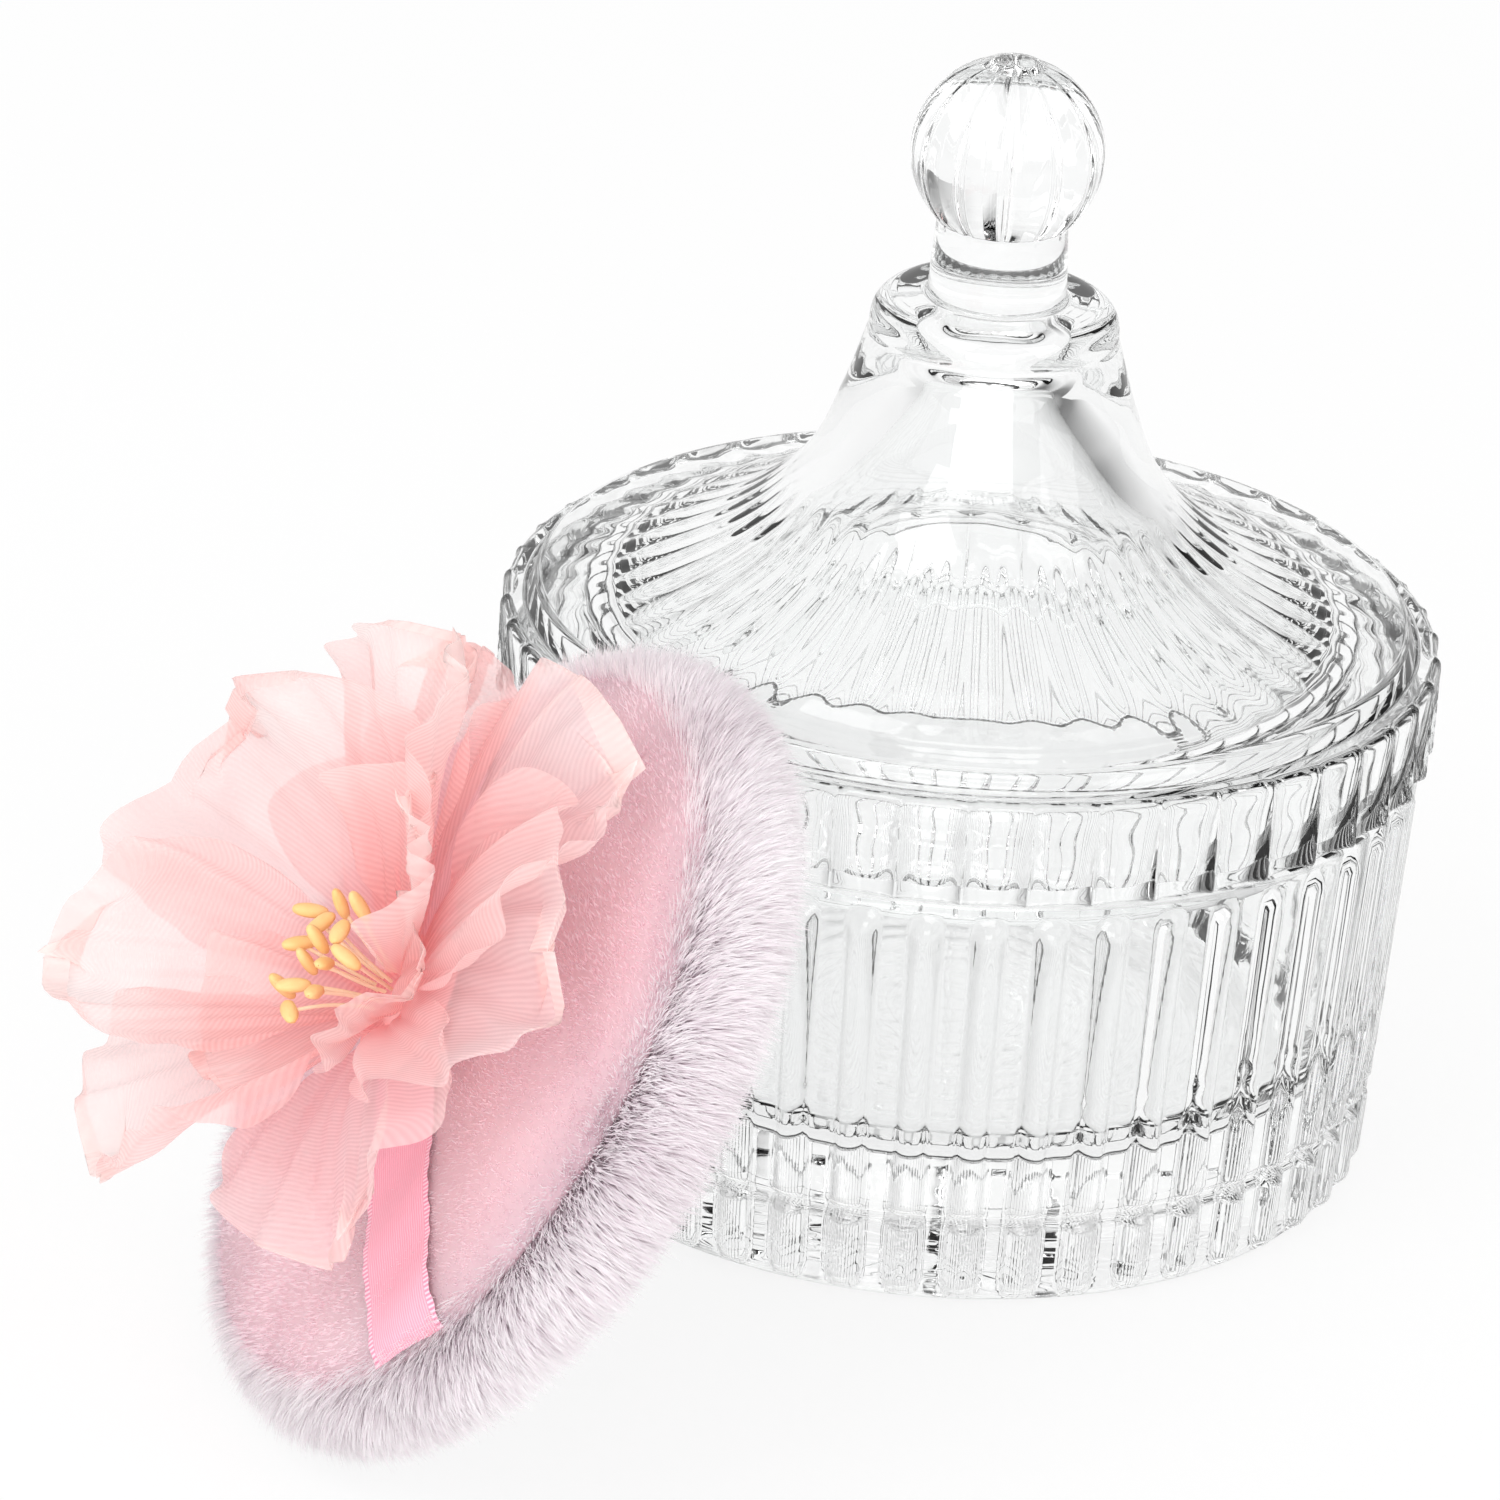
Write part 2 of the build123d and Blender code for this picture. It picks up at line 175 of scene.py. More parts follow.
# bearings across one reed and flute, in half pitches, closer at a reed's foot and a flute's ridge
RIB_PLACES = np.array([-1, -0.94, -0.8, -0.63, -0.53, -0.44, -0.24, 0, 0.24, 0.44, 0.53, 0.63, 0.8, 0.94])
half_pitch = math.pi / RIBS
around = ((2 * np.arange(RIBS)[:, None] + RIB_PLACES) * half_pitch).ravel()
from_rib = np.tile(RIB_PLACES * half_pitch, RIBS)


# ------------------------------------------------------------------ glass jar
REED_LOW, REED_HIGH = 2.4, 43.4
REED_RADIUS, REED_SINK, REED_FILLET = 1.75, 0.45, 0.06
FOOT_LINE, FOOT_LINE_WIDTH, FOOT_LINE_DEPTH = 10.0, 0.5, 0.6
RIPPLE_DEPTH, RIPPLE_PERIOD, RIPPLE_TOP = 0.08, 2.8, 25


def reed_rings(radius, height):
    """Radius round the wall at one height, with the round-ended reeds that stand on it."""
    end = max(REED_LOW - height, height - REED_HIGH, 0)
    if end >= REED_RADIUS:
        return np.full_like(from_rib, radius)
    thick = math.sqrt(REED_RADIUS**2 - end**2)
    axis = radius - REED_SINK
    inside = np.clip(thick**2 - (axis * np.sin(from_rib)) ** 2, 0, None)
    bump = np.where(inside > 0, axis * np.cos(from_rib) + np.sqrt(inside), 0)
    return smooth_max(np.full_like(bump, radius), bump, REED_FILLET)


def make_jar():
    """The jar: a reeded wall with a line pressed round its foot, and faint ripples on the floor."""
    rings = []
    outer = rounded(
        [(0, 0, 0), (foot_radius, 0, 1.4), (rim_radius, rim_height, 1.4), (43.4, rim_height, 1.2),
         (41.4, floor_top, 8.0), (0, floor_top, 0)],
        0.7,
    )
    wall_slope = (rim_radius - foot_radius) / rim_height
    for r, z in outer[1:-1]:
        on_wall = r > foot_radius - 1.8 + wall_slope * z and z < rim_height - 1.5
        ring = reed_rings(r, z) if on_wall else r
        if on_wall:
            notch = math.exp(-(((z - FOOT_LINE) / FOOT_LINE_WIDTH) ** 2))
            ring = ring * (1 - notch) + (r - FOOT_LINE_DEPTH) * notch
        elif floor_top - 0.1 < z < RIPPLE_TOP:
            spread = min(1, (RIPPLE_TOP - z) / 4, r / 20)
            ripple = RIPPLE_DEPTH * spread * math.sin((r - z) * 2 * math.pi / RIPPLE_PERIOD)
            ring, z = r - ripple * (z > floor_top + 0.2), z + ripple
        rings.append((ring, z))
    jar = turned_mesh("jar_glass", rings, "jar", "clear_glass")
    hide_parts("jar_body")
    return jar


# ------------------------------------------------------------------ glass lid
FLUTE_DEPTH, FLUTE_TOP_SHARE = 1.3, 0.3
MOUTH_RADIUS, FLANGE_RADIUS, FLANGE_DEPTH = 40.1, 42.5, 4.6
FLARE_FOOT, CROWN_FOOT = (46.4, 61.6), (13.2, 91.6)
FLARE_FLUTE_DEPTH = 0.22
BALL_RADIUS, BALL_MIDDLE, BALL_FOOT = 10.2, 111.5, 104.0
# the groove's width is a share of one gore; the angles run down from the knob's top
GORES, GORE_GROOVE, GORE_GROOVE_WIDTH, GORE_FLAT = 12, 0.34, 0.075, 0.1
GROOVE_START, GROOVE_SPAN, BALL_START = math.radians(17), math.radians(146), math.radians(19)


def skirt_ring(radius, height, top):
    """Radius round the lid's skirt: wide shallow flutes between narrow ridges, less deep at the top."""
    share = np.clip((top - height) / (top - seat), 0, 1)
    share = FLUTE_TOP_SHARE + (1 - FLUTE_TOP_SHARE) * share * share * (3 - 2 * share)
    corner = np.clip(1 - (lid_radius - radius) / 1.6, 0, 1)
    squareness = 2.2 + 3.8 * np.clip((height - seat) / 3, 0, 1)
    return radius - FLUTE_DEPTH * share * corner * (1 - (np.abs(from_rib) / half_pitch) ** squareness)


def make_lid():
    """The lid in one pressing: flange, fluted skirt, finely fluted flare, crown and gored knob."""
    skirt_top, flange_low = seat + skirt_height, seat - FLANGE_DEPTH
    flare = curve_through(
        [FLARE_FOOT, (41.0, 62.6), (35.8, 64.1), (25.5, 69.4), (19.0, 76.0), (15.5, 84.1), CROWN_FOOT],
        90,
    )
    crown = rounded([(*CROWN_FOOT, 0), (13.2, 95.6, 3.6), (7.4, 95.6, 0.7), (6.9, BALL_FOOT, 0.6)], 0.4)
    knob = []
    for polar in np.linspace(math.acos((BALL_FOOT - BALL_MIDDLE) / BALL_RADIUS), BALL_START, 60):
        groove = np.clip(math.sin((polar - GROOVE_START) / GROOVE_SPAN * math.pi), 0, 1)
        height = BALL_MIDDLE + BALL_RADIUS * math.cos(polar)
        knob.append((BALL_RADIUS * math.sin(polar), height, groove**0.6))
    gore_turn = (around * GORES / (2 * math.pi) + 0.5) % 1 - 0.5
    gore_cut = GORE_GROOVE * np.exp(-((gore_turn / GORE_GROOVE_WIDTH) ** 2))
    gore_cut = gore_cut + GORE_FLAT * (2 * gore_turn) ** 2

    # the first point only aims the mouth's rounded corner; the hollow's curve takes its place
    flange = rounded(
        [(0, 0, 0), (MOUTH_RADIUS, flange_low, 1.0), (FLANGE_RADIUS, flange_low, 0.8),
         (FLANGE_RADIUS, seat, 0.4), (lid_radius, seat, 0.95), (lid_radius, skirt_top, 1.3),
         (47.7, skirt_top, 0.5), (*FLARE_FOOT, 0)],
        0.5,
    )
    hollow = curve_through(
        [(MOUTH_RADIUS, 44.3), (MOUTH_RADIUS, 51.0), (39.8, 56.4), (35.4, 60.6), (24.4, 66.0), (15.4, 73.2),
         (10.4, 80.0), (7.2, 84.6), (6.1, 87.0), (3.8, 88.0), (0.4, 88.1)],
        110,
    )[::-1]
    rings = list(hollow)
    for r, z in flange[1:]:
        if r > FLANGE_RADIUS + 1:
            rings.append((skirt_ring(r, z, skirt_top), z))
        elif r > MOUTH_RADIUS - 0.1:
            rings.append((r, z))
    for r, z in flare[1:-1]:
        # the fine flutes fade out towards the crown and towards the flare's foot
        fade = np.clip((r - 19.5) / 3.5, 0, 1) * np.clip((46.6 - r) / 8, 0, 1)
        dip = FLARE_FLUTE_DEPTH * fade * (0.5 + 0.5 * np.cos(from_rib * RIBS)) * min(1, r / 36)
        rings.append((r - 0.35 * dip, z - 0.9 * dip))
    rings += list(crown[:-1])
    rings += [(r - gore_cut * groove, z) for r, z, groove in knob]
    rings += [(2.9, 121.45), (1.6, 121.7), (0.4, 121.72)]
    lid = turned_mesh("lid_glass", rings, "lid", "clear_glass")
    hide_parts("jar_lid")
    return lid


# ------------------------------------------------------------------ where the puff lies
core_points = np.array([v.co for v in nodes["puff_foam_core"].data.vertices]) / MM
core_middle = (core_points.max(0) + core_points.min(0)) / 2
face = np.linalg.svd(core_points - core_middle, full_matrices=False)[2][2]
face = face * math.copysign(1, face[2])
uphill = np.array([0, 0, 1]) - face[2] * face
uphill = uphill / np.linalg.norm(uphill)
across = np.cross(face, uphill)


def reach_of(node):
    """Lowest and highest level of a node along the puff's axis, and its widest radius."""
    offset = np.array([v.co for v in nodes[node].data.vertices]) / MM - core_middle
    level = offset @ face
    radius = np.linalg.norm(offset - np.outer(level, face), axis=1)
    return level.min(), level.max(), radius.max()


PLUSH_LOW, SEAM_LEVEL, PLUSH_RADIUS = reach_of("puff_plush_back")
VELOUR_LOW, VELOUR_TOP, SEAM_RADIUS = reach_of("puff_velour_top")
PAD_LOW, PAD_TOP, PAD_RADIUS = reach_of("flower_pad")
# in mm; the pile's lean is a share of its length, and the gaps keep hairs off the table and the lid
RIM_ROUND = 6.2
PILE_LENGTH = 3.8
PILE_WIDTH = 0.17
PILE_LEAN = 0.62
HAIR_POINTS = 7
NAP_LENGTH = 0.6
NAP_WIDTH = 0.15
TABLE_GAP = 0.1
LID_GAP = 0.25


def on_puff(radial, sideways, level):
    """Points in the frame, in mm, from distances uphill, across and along the puff's axis."""
    radial, sideways, level = np.broadcast_arrays(radial, sideways, level)
    return core_middle + radial[..., None] * uphill + sideways[..., None] * across + level[..., None] * face


def way_on_puff(radial, sideways, level):
    """Directions in the frame from their shares uphill, across and along the puff's axis."""
    return on_puff(radial, sideways, level) - core_middle


def unit(v):
    """Vectors of length 1 with the same directions."""
    return v / np.maximum(np.linalg.norm(v, axis=-1, keepdims=True), 1e-9)


def rim_outline(inset):
    """Radius and level along the plush's rounded rim, set in by a distance, from back to seam."""
    bearing = np.linspace(-math.pi / 2, 0.96, 22)
    middle = PLUSH_LOW + RIM_ROUND
    flat = PLUSH_RADIUS - RIM_ROUND
    return flat + (RIM_ROUND - inset) * np.cos(bearing), middle + (RIM_ROUND - inset) * np.sin(bearing)


def dome_level(radius):
    """Level of the velour's crowned top, which turns down steeply into the seam."""
    share = np.clip(radius / SEAM_RADIUS, 0, 1)
    crown = 1 - share**2
    shoulder = (1 - share**9) ** 0.5
    return VELOUR_LOW - 0.4 + (VELOUR_TOP - VELOUR_LOW + 0.4) * (0.55 * crown + 0.45 * shoulder)


def disc_skin(name, radii, levels, slot, wobble):
    """A round skin turned about the puff's axis, with a soft unevenness along its surface."""
    count = 180
    turn = np.arange(count) * 2 * math.pi / count
    r, z = np.asarray(radii)[:, None], np.asarray(levels)[:, None]
    uneven = np.sin(3 * turn + 0.7) + 0.6 * np.sin(7 * turn + 0.16 * r) + 0.4 * np.sin(0.5 * r - 4 * turn)
    lift = wobble * uneven * np.clip(r / 12, 0, 1)
    points = on_puff(r * np.cos(turn), r * np.sin(turn), z + lift).reshape(-1, 3) * MM
    faces = [grid_faces(len(radii), count, wrap_columns=True)]
    return mesh_object(name, points, faces, "puff", slot)


def pressed_back(points):
    """Moves hair points above the table, and outside the lid's widest ring up to its skirt's top."""
    points[..., 2] = np.maximum(points[..., 2], TABLE_GAP)
    ring = np.hypot(points[..., 0], points[..., 1])
    beside_lid = points[..., 2] < seat + skirt_height + 1
    push = np.where(beside_lid, np.maximum(lid_radius + LID_GAP - ring, 0), 0)
    points[..., :2] *= (1 + push / ring)[..., None]


def strands(name, roots, aim, lean, length, width, slot, seed):
    """Short tapered hairs, three pairs of points and a tip, each bending from its aim towards its
    lean. The UV holds a random shade and the share from root to tip."""
    pick = np.random.default_rng(seed)
    count = len(roots)
    length = length * pick.uniform(0.72, 1.12, count)
    side = unit(np.cross(aim, unit(lean) + 0.5 * pick.normal(size=(count, 3))))
    stations = np.array([0.0, 0.42, 0.76, 1.0])
    half = width / 2 * np.array([1.0, 0.92, 0.6, 0.0])
    along = aim[:, None] * stations[None, :, None] + lean[:, None] * (stations**1.8)[None, :, None]
    line = roots[:, None] + along * length[:, None, None]
    spread = side[:, None] * half[:3, None]
    pairs = np.stack([line[:, :3] - spread, line[:, :3] + spread], 2)
    points = np.concatenate([pairs.reshape(count, 6, 3), line[:, 3:]], 1)
    pressed_back(points)
    first = np.arange(count)[:, None] * HAIR_POINTS
    quads = np.concatenate([first + [0, 1, 3, 2], first + [2, 3, 5, 4]])
    tips = first + [4, 5, 6]
    shade = np.repeat(pick.uniform(0, 1, count), HAIR_POINTS)
    rise = np.tile([*np.repeat(stations[:3], 2), 1], count)
    grow = np.stack([shade, rise], -1)
    return mesh_object(name, points.reshape(-1, 3) * MM, [quads, tips], "puff", slot, grow=grow)


def make_plush():
    """White pile: a skin turned round the rim and the back, and combed hairs standing on it."""
    skin_inset = 1.9
    rim_r, rim_z = rim_outline(skin_inset)
    back_r = np.linspace(0.01, PLUSH_RADIUS - RIM_ROUND, 14)[:-1]
    back_z = np.full_like(back_r, rim_z[0])
    tuck_r, tuck_z = [SEAM_RADIUS - 4.5, SEAM_RADIUS - 8], [SEAM_LEVEL - 0.4, SEAM_LEVEL - 0.6]
    skin_r, skin_z = [*back_r, *rim_r, *tuck_r], [*back_z, *rim_z, *tuck_z]
    skin = disc_skin("puff_plush", skin_r, skin_z, "white_plush", 0.12)
    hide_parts("puff_plush_back")

    pick = np.random.default_rng(11)
    flat = PLUSH_RADIUS - RIM_ROUND
    hull = RIM_ROUND - skin_inset
    made = [skin]
    for number, (name, count) in enumerate(
        (("pile_left", 38000), ("pile_right", 38000), ("pile_back", 30000))
    ):
        turn = pick.uniform(0, math.pi, count) + number * math.pi
        ring = np.full(count, flat)
        bearing = pick.uniform(-1.0, 1.4, count)
        if name == "pile_back":
            turn = turn * 2
            radius = flat * np.sqrt(pick.uniform(0, 1.1, count))
            ring = np.minimum(radius, flat)
            bearing = (radius - ring) / hull - math.pi / 2
        r = ring + hull * np.cos(bearing)
        z = PLUSH_LOW + RIM_ROUND + hull * np.sin(bearing)
        roots = on_puff(r * np.cos(turn), r * np.sin(turn), z)
        outward, along = np.cos(bearing), np.sin(bearing)
        out = way_on_puff(outward * np.cos(turn), outward * np.sin(turn), along)
        round_way = way_on_puff(-np.sin(turn), np.cos(turn), 0 * turn)
        down = way_on_puff(along * np.cos(turn), along * np.sin(turn), -outward)
        if name == "pile_back":
            down = np.broadcast_to(-uphill, out.shape)
        clump = np.sin(19 * turn + 3 * bearing) + 0.8 * np.sin(37 * turn - 5 * bearing + 1.3)
        clump = clump + 0.5 * np.sin(61 * turn)
        lean = PILE_LEAN * down + (0.12 + 0.09 * clump)[:, None] * round_way
        lean = lean + 0.11 * pick.normal(size=(count, 3))
        made.append(strands(name, roots, out, lean, PILE_LENGTH, PILE_WIDTH, "white_plush", 5 + number))
    for pile in made[1:]:
        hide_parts("puff_plush_back")
    return made


def make_velour():
    """Crowned velour top: a domed skin that tucks into the seam, and its short brushed nap."""
    radius = np.concatenate([np.linspace(0.01, 0.86, 26), np.linspace(0.88, 0.997, 16)]) * SEAM_RADIUS
    level = dome_level(radius)
    tuck_r = [SEAM_RADIUS - 0.3, SEAM_RADIUS - 1.6]
    tuck_z = [VELOUR_LOW - 0.7, VELOUR_LOW - 1.2]
    skin = disc_skin("velour_top", [*radius, *tuck_r], [*level, *tuck_z], "pink_velour", 0.16)
    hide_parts("puff_velour_top")

    pick = np.random.default_rng(19)
    count = 39000
    turn = pick.uniform(0, 2 * math.pi, count)
    r = SEAM_RADIUS * np.sqrt(pick.uniform(0, 0.99, count))
    step = 0.2
    slope = (dome_level(r + step) - dome_level(r - step)) / (2 * step)
    outward = way_on_puff(np.cos(turn), np.sin(turn), 0 * turn)
    up = unit(face - slope[:, None] * outward)
    roots = on_puff(r * np.cos(turn), r * np.sin(turn), dome_level(r) - 0.1)
    swirl = np.sin(0.35 * r * np.cos(turn) + 1) * 0.5 + np.sin(0.31 * r * np.sin(turn)) * 0.5
    lean = 0.5 * outward + swirl[:, None] * np.cross(up, outward) * 0.5
    lean = lean + 0.25 * pick.normal(size=(count, 3))
    nap = strands("velour_nap", roots, up, lean, NAP_LENGTH, NAP_WIDTH, "pink_velour", 29)
    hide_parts("puff_velour_top")
    return skin, nap


STRAP_WIDTH = 10.5
RIBBED_EDGE = 0.75
STRAP_TURN = math.radians(-123)


def make_strap():
    """Satin ribbon laid over the crowned top, its ends taken down into the seam."""
    rows, columns = 120, 40
    half_run = np.linspace(-1, 1, rows)[:, None] * (SEAM_RADIUS - 0.2)
    t = np.linspace(-0.5, 0.5, columns)[None, :]
    picot = 0.14 * np.sign(t) * (np.abs(t) > 0.49) * np.cos(half_run * 2 * math.pi / 0.9)
    sideways = t * STRAP_WIDTH + picot
    radial = half_run + 0 * t
    r = np.hypot(radial, sideways)
    pulled = 1 - 0.05 * np.clip(np.abs(half_run) / SEAM_RADIUS - 0.75, 0, 1) * np.abs(t)
    ripple = 0.22 * np.sin(half_run * 0.55 + 3 * t) * np.clip(np.abs(half_run) / 30, 0, 1)
    level = dome_level(np.minimum(r, SEAM_RADIUS * 0.998)) + 0.75 + ripple
    a, b = math.cos(STRAP_TURN), math.sin(STRAP_TURN)
    wide = sideways * pulled
    points = on_puff(radial * a - wide * b, radial * b + wide * a, level).reshape(-1, 3) * MM
    uv = np.stack([sideways, radial + SEAM_RADIUS], -1).reshape(-1, 2)
    strap = mesh_object("strap_ribbon", points, [grid_faces(rows, columns)], "puff", "pink_satin", cloth=uv)
    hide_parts("ribbon_strap")
    return strap


# ------------------------------------------------------------------ flower
FLOWER_LEVEL = PAD_TOP + 0.3
WEAVE = 0.5


def petal_width(s, root_share=0.2, widest=0.6):
    """Half width along a petal as a share of its widest, from narrow root to round tip."""
    swell = np.clip(s / widest, 0, 1)
    swell = root_share + (1 - root_share) * swell * swell * (3 - 2 * swell)
    tip = np.sqrt(np.clip(1 - (np.clip(s - widest, 0, 1) / (1 - widest)) ** 2.6, 0, 1))
    return swell * tip


def make_gauze_petal(node, tip, width, arch, cup, ruffle, waves, weave_turn, start=2.6, lift=0.6):
    """One organza petal. It runs from the pad to a tip, arches, cups and ruffles towards its edge."""
    pick = np.random.default_rng(int(weave_turn * 10))
    rows, columns = 96, 84
    s, t = np.meshgrid(np.linspace(0, 1, rows), np.linspace(-1, 1, columns), indexing="ij")
    tip = np.array(tip, float)
    bearing = math.atan2(tip[1], tip[0])
    out = np.array([math.cos(bearing), math.sin(bearing), 0])
    root = out * start + np.array([0, 0, lift])
    bend = root + 0.45 * (tip - root) + arch * np.array([0, 0, 1])
    line = ((1 - s) ** 2)[..., None] * root + (2 * s * (1 - s))[..., None] * bend + (s**2)[..., None] * tip
    way = unit(2 * (1 - s)[..., None] * (bend - root) + 2 * s[..., None] * (tip - bend))
    side = np.array([-out[1], out[0], 0])
    up = unit(np.cross(way, side))
    notch = 1 + 0.05 * np.sin(7 * t + waves) + 0.03 * np.sin(13 * t - waves)
    half = width / 2 * petal_width(s)
    x = t * half
    length = np.linalg.norm(tip - root)
    fan = np.arctan2(x, s * length + 6)
    edge = np.clip(np.maximum(np.abs(t), (s - 0.5) / 0.5), 0, 1) * np.clip(s * 1.8, 0, 1)
    a, b, c, d = pick.uniform(0, 2 * math.pi, 4)
    folds = np.sin(fan * waves * 0.62 + a) + 0.5 * np.sin(fan * waves * 1.5 + b + 2 * s)
    pleats = np.sin(fan * waves * 3.1 + c + 1.5 * np.sin(4 * s)) + 0.6 * np.sin(fan * waves * 4.7 + d)
    folds = folds + 0.25 * np.sin(fan * waves * 2.4 + c + 3 * s)
    curl = np.sin(s * 10 + 4 * t + d) + 0.6 * np.sin(s * 19 - 6 * t + b)
    ruffles = edge**1.3 * folds + 0.16 * edge**0.6 * pleats + 0.28 * edge**5 * curl
    height = cup * half * t**2 + ruffle * ruffles
    sway = 0.12 * width * np.sin(s * 2.6 + a) * s * (1 - 0.3 * s)
    reach_out = 1 + (notch - 1) * edge**2
    local = root + (line - root) * reach_out[..., None]
    local = local + (x * (1 - 0.22 * cup * t**2) + sway)[..., None] * side
    local = local + (height - 0.2 * ruffle)[..., None] * up
    local[..., 2] += FLOWER_LEVEL
    radius = np.hypot(local[..., 0], local[..., 1])
    floor = dome_level(np.minimum(radius, SEAM_RADIUS * 0.99)) + 1.3
    local[..., 2] = smooth_max(local[..., 2], floor, 2.0)
    points = on_puff(local[..., 0], local[..., 1], local[..., 2]).reshape(-1, 3) * MM
    bias = math.radians(weave_turn)
    u, v = x, s * length
    cloth = np.stack([u * math.cos(bias) - v * math.sin(bias), u * math.sin(bias) + v * math.cos(bias)], -1)
    grow = np.stack([t * 0.5 + 0.5, s], -1)
    petal = mesh_object(
        node.replace("petal", "gauze"), points, [grid_faces(rows, columns)], "puff", "blush_gauze",
        cloth=cloth.reshape(-1, 2), grow=grow.reshape(-1, 2),
    )
    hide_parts(node)
    return petal


PETALS = (
    # node, tip (uphill, across, along the axis), width, arch, cup, ruffle, waves, turn of the weave
    ("outer_petal_1", (34, -18, 4), 38, 8, 0.12, 2.5, 15, 35),
    ("outer_petal_2", (32, 6, 15), 36, 3, 0.26, 2.6, 14, 62),
    ("outer_petal_3", (10, 26, 21), 40, 1, 0.30, 2.9, 13, 20),
    ("outer_petal_4", (-16, 17, 27), 26, -3, 0.36, 2.3, 16, 75),
    ("outer_petal_5", (-27, -1, 20), 30, 1, 0.24, 2.8, 14, 48),
    ("outer_petal_6", (18, -32, 4), 38, 9, 0.16, 2.8, 14, 15),
    ("inner_petal_1", (22, -6, 14), 29, 2, 0.36, 2.2, 16, 80),
    ("inner_petal_2", (26, 22, 6), 34, 7, 0.16, 2.5, 14, 55),
    ("inner_petal_3", (-15, 5, 13), 24, 2, 0.3, 1.5, 15, 28),
    ("inner_petal_4", (-15, -30, 5), 35, 6, 0.18, 2.6, 13, 68),
    ("inner_petal_5", (6, -17, 9), 25, 3, 0.4, 1.5, 17, 42),
)


def make_flower():
    """The felt pad, and the petals of PETALS sewn to it."""
    pad_turn = np.linspace(0, 1, 14)
    pad_r = [*(PAD_RADIUS * np.sin(pad_turn * math.pi / 2) + 0.01), PAD_RADIUS - 0.2, 0.02]
    pad_z = [*(PAD_TOP - 0.9 * pad_turn**4), PAD_LOW, PAD_LOW]
    pad = disc_skin("flower_pad_felt", pad_r, pad_z, "pink_felt", 0.05)
    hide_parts("flower_pad")
    petals = [make_gauze_petal(*facts) for facts in PETALS]
    return pad, petals


STAMENS = 14
THREAD_RADIUS = 0.2
GRAIN_HALF_LENGTH, GRAIN_HALF_WIDTH, GRAIN_HALF_DEPTH = 1.85, 0.86, 0.7


def add_tube(points, faces, tube):
    """Adds one tube's points and faces to lists that hold other tubes of the same size."""
    rows, sides = tube.shape[:2]
    faces.append(grid_faces(rows, sides, wrap_columns=True) + len(points) * rows * sides)
    points.append(tube.reshape(-1, 3))


def make_stamens():
    """A tuft of stiffened threads, each ending in a grain-shaped tip."""
    pick = np.random.default_rng(31)
    sides = 8
    thread_points, thread_faces, grain_points, grain_faces = [], [], [], []
    ring = np.arange(sides) * 2 * math.pi / sides
    foot_level = FLOWER_LEVEL + 2.3
    for number in range(STAMENS):
        spread = math.sqrt((number + 0.5) / STAMENS)
        bearing = number * math.pi * (3 - math.sqrt(5))
        outward = np.array([math.cos(bearing), math.sin(bearing), 0])
        foot = outward * spread * 2.4 + np.array([0, 0, foot_level])
        top = foot + outward * spread * 4.6 + np.array([0, 0, 8.4 + pick.uniform(-0.9, 0.7)])
        bend = (foot + top) / 2 - outward * spread * 1.0 + pick.normal(size=3) * 0.35
        s = np.linspace(0, 1, 9)[:, None]
        line = (1 - s) ** 2 * foot + 2 * s * (1 - s) * bend + s**2 * top
        way = unit(top - bend)
        side = unit(np.cross(way, [0.3, 0.9, 0.2]))
        other = np.cross(way, side)
        girdle = np.cos(ring)[:, None] * side + np.sin(ring)[:, None] * other
        add_tube(thread_points, thread_faces, line[:, None] + THREAD_RADIUS * girdle)
        tilt = unit(way + 0.75 * pick.normal(size=3))
        side = unit(np.cross(tilt, [0.8, -0.2, 0.5]))
        other = np.cross(tilt, side)
        turn = np.linspace(0.04, math.pi - 0.04, 15)[:, None]
        dent = 0.1 * np.exp(-((ring - math.pi) ** 2) * 4)
        girth = np.sin(turn) ** 0.8 * (1 + 0.12 * np.cos(2 * ring)) - dent
        grain = top + (-GRAIN_HALF_LENGTH * np.cos(turn))[..., None] * tilt
        grain = grain + (GRAIN_HALF_WIDTH * girth * np.cos(ring))[..., None] * side
        grain = grain + (GRAIN_HALF_DEPTH * girth * np.sin(ring))[..., None] * other
        add_tube(grain_points, grain_faces, grain)
    made = []
    for name, points, faces, slot, node in (
        ("stamen_threads", thread_points, thread_faces, "stamen_thread", "stamen_filaments"),
        ("stamen_grains", grain_points, grain_faces, "stamen_tip", "stamen_anthers"),
    ):
        local = np.concatenate(points)
        world = on_puff(local[:, 0], local[:, 1], local[:, 2]) * MM
        piece = mesh_object(name, world, faces, "puff", slot)
        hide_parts(node)
        made.append(piece)
    return made


# ------------------------------------------------------------------ materials
def material(name):
    """A new node material, with its nodes, its links and its Principled shader."""
    made = bpy.data.materials.new(name)
    made.use_nodes = True
    tree = made.node_tree
    return made, tree.nodes, tree.links, tree.nodes["Principled BSDF"]


def dress(piece, look):
    """Gives a piece one material."""
    piece.data.materials.clear()
    piece.data.materials.append(look)


def srgb(red, green, blue):
    """A colour given as it looks on a screen, 0 to 255, as the linear colour a shader takes."""
    shares = [c / 255 for c in (red, green, blue)]
    return (*[c / 12.92 if c < 0.04045 else ((c + 0.055) / 1.055) ** 2.4 for c in shares], 1)


def put(link, socket, value):
    """Links a socket to another node's output, or sets it to a plain value."""
    if hasattr(value, "links"):
        link.new(value, socket)
    else:
        socket.default_value = value


def ramp_of(node, link, source, stops):
    """A colour ramp on a value, from (place, colour) stops."""
    ramp = node.new("ShaderNodeValToRGB")
    while len(ramp.color_ramp.elements) < len(stops):
        ramp.color_ramp.elements.new(0.5)
    for element, (place, colour) in zip(ramp.color_ramp.elements, stops):
        element.position = place
        element.color = colour
    link.new(source, ramp.inputs[0])
    return ramp.outputs["Color"]


